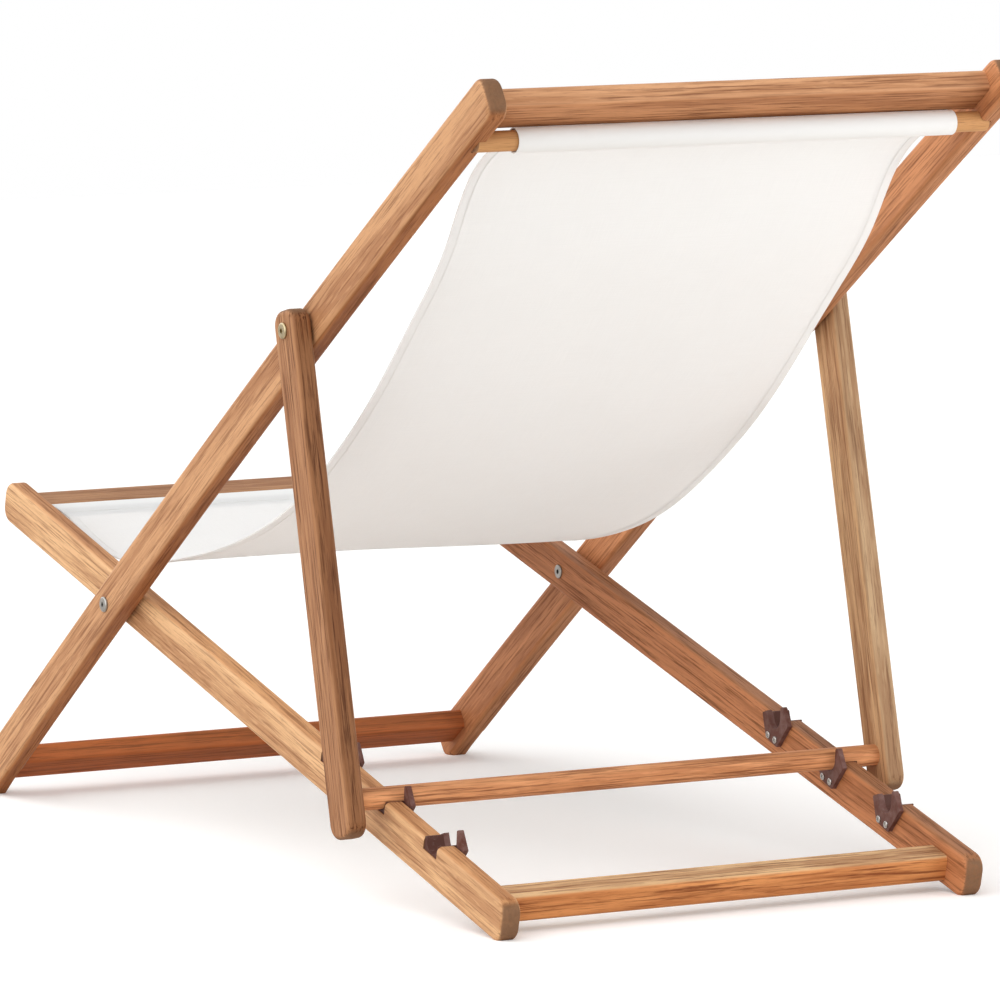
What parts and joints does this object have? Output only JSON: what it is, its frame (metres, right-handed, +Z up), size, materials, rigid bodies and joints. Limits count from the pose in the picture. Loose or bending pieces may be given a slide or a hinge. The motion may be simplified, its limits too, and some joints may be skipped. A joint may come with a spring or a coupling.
{
  "type": "folding sun chair",
  "caption": "Folding wooden sling chair: crossed seat and back frames, a prop frame resting in notched brackets, and a canvas sling hung between dowels.",
  "frame": {"origin": "middle of the footprint's box on the floor", "axes": "+Z up, -Y towards the chair's front, +X to the sitter's left"},
  "size_m": [0.6032, 1.156, 0.7798],
  "materials": {
    "frame_wood": "oiled",
    "dowel_wood": "bare",
    "canvas": "woven",
    "bracket_plastic": "moulded",
    "screw_zinc": "zinc plated",
    "bolt_steel": "satin",
    "washer_steel": "satin",
    "prop_bolt_brass": "yellow zinc"
  },
  "bodies": {
    "seat_frame": {"bracket_screw_left_1a": "screw_zinc", "bracket_screw_left_1b": "screw_zinc", "bracket_screw_left_2a": "screw_zinc", "bracket_screw_left_2b": "screw_zinc", "bracket_screw_left_3a": "screw_zinc", "bracket_screw_left_3b": "screw_zinc", "bracket_screw_right_1a": "screw_zinc", "bracket_screw_right_1b": "screw_zinc", "bracket_screw_right_2a": "screw_zinc", "bracket_screw_right_2b": "screw_zinc", "bracket_screw_right_3a": "screw_zinc", "bracket_screw_right_3b": "screw_zinc", "front_sling_dowel": "dowel_wood", "notch_bracket_left_1": "bracket_plastic", "notch_bracket_left_2": "bracket_plastic", "notch_bracket_left_3": "bracket_plastic", "notch_bracket_right_1": "bracket_plastic", "notch_bracket_right_2": "bracket_plastic", "notch_bracket_right_3": "bracket_plastic", "scissor_bolt_left": "bolt_steel", "scissor_bolt_right": "bolt_steel", "scissor_nut_left": "bolt_steel", "scissor_nut_right": "bolt_steel", "scissor_washer_left": "washer_steel", "scissor_washer_right": "washer_steel", "seat_front_crossbar": "frame_wood", "seat_rail_left": "frame_wood", "seat_rail_right": "frame_wood", "seat_rear_stretcher": "frame_wood"},
    "back_frame": {"back_rail_left": "frame_wood", "back_rail_right": "frame_wood", "front_stretcher": "frame_wood", "prop_bolt_left": "prop_bolt_brass", "prop_bolt_right": "prop_bolt_brass", "prop_nut_left": "bolt_steel", "prop_nut_right": "bolt_steel", "prop_washer_left": "washer_steel", "prop_washer_right": "washer_steel", "sling": "canvas", "top_crossbar": "frame_wood", "top_sling_dowel": "dowel_wood"},
    "prop_frame": {"prop_left": "frame_wood", "prop_right": "frame_wood", "prop_bar": "frame_wood"}
  },
  "joints": [
    {"name": "back_fold", "type": "hinge", "parent": "seat_frame", "child": "back_frame", "pos_m": [0, -0.25548, 0.227], "axis": [1, 0, 0], "range_deg": [0, 124], "deforming": ["sling"]},
    {"name": "prop_swing", "type": "hinge", "parent": "back_frame", "child": "prop_frame", "pos_m": [0, 0.203, 0.53212], "axis": [1, 0, 0], "range_deg": [-62, 0]}
  ],
  "couplings": [
    {"joint": "prop_swing", "follows": "back_fold", "ratio": -0.5}
  ]
}
